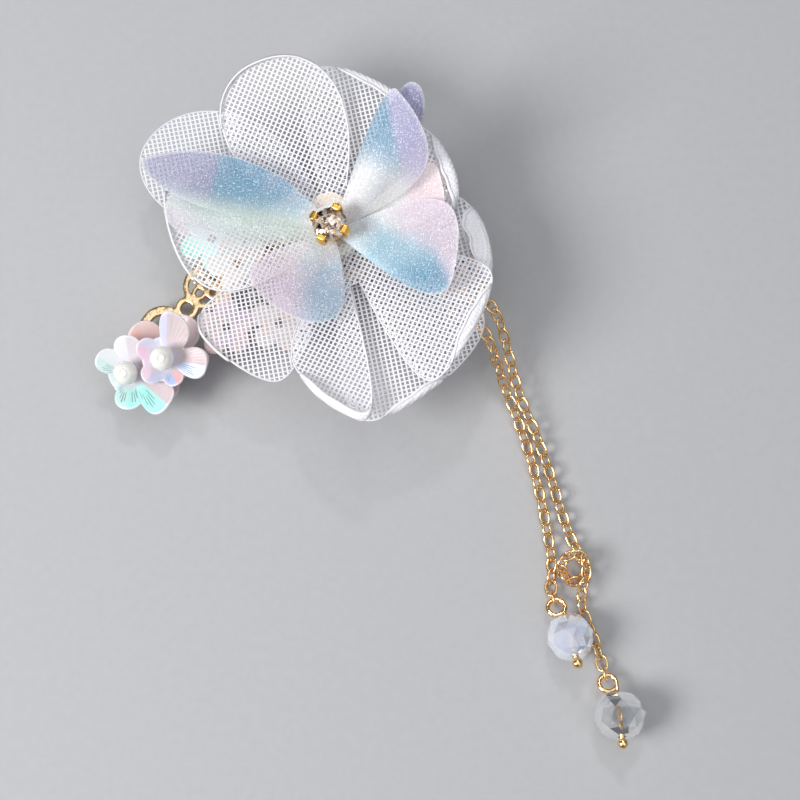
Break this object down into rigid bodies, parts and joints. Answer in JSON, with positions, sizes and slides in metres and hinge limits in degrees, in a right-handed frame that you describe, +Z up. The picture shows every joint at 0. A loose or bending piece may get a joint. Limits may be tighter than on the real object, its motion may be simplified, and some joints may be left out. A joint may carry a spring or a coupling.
{
  "type": "tassel hair clip",
  "caption": "Hair clip with a layered net flower, organza butterfly wings, a claw-set stone, cupped sequins, and fine chains that end in cut glass drops.",
  "frame": {"origin": "on the surface that the clip lies on, at the clip's flat underside below the flower's axis", "axes": "+X along the clip towards its hinge end, +Y away from the drops along the surface, +Z up"},
  "size_m": [0.0696, 0.0877, 0.0223],
  "materials": {
    "clip_steel": "plain bright sheet",
    "gilt_plate": "polished gilt casting",
    "net_lower": "stiff white square net",
    "net_upper": "stiff white square net",
    "organza_lower": "fine organza, mint and lavender",
    "organza_upper": "fine organza, blue and lavender",
    "gilt_setting": "polished gilt claws",
    "cut_stone": "clear cut stone with a champagne tone",
    "sequin_mint": "pearly white with mint",
    "sequin_blue": "pearly white with blue",
    "sequin_pink": "pearly pink and lilac",
    "sequin_clear": "clear with a pearl gleam",
    "white_bead": "milk white, glossy",
    "nylon_line": "clear to white nylon line",
    "gilt_wire": "polished gilt wire",
    "crystal": "clear cut crystal",
    "gilt_chain": "polished rose gold chain",
    "milky_glass": "milky blue-white cut glass",
    "clear_glass": "clear cut glass"
  },
  "bodies": {
    "root": {"clip": "clip_steel", "filigree_plate": "gilt_plate", "flower_lower": "net_lower", "flower_upper": "net_upper", "butterfly_lower": "organza_lower", "butterfly_upper": "organza_upper", "stone_setting": "gilt_setting", "rhinestone": "cut_stone", "sequin_flower_1": "sequin_mint", "sequin_flower_2": "sequin_blue", "sequin_flower_3": "sequin_pink", "sequin_flower_4": "sequin_pink", "sequin_flower_5": "sequin_mint", "sequin_flower_6": "sequin_pink", "sequin_flower_7": "sequin_clear", "sequin_flower_8": "sequin_clear", "pearl_bead_1": "white_bead", "pearl_bead_2": "white_bead", "sequin_post_1": "nylon_line", "sequin_post_2": "nylon_line", "crystal_bead_1": "crystal", "crystal_bead_2": "crystal", "chain_right": "gilt_chain", "chain_left": "gilt_chain", "head_pin_milky": "gilt_wire", "head_pin_clear": "gilt_wire", "milky_bead": "milky_glass", "clear_bead": "clear_glass"}
  },
  "joints": []
}
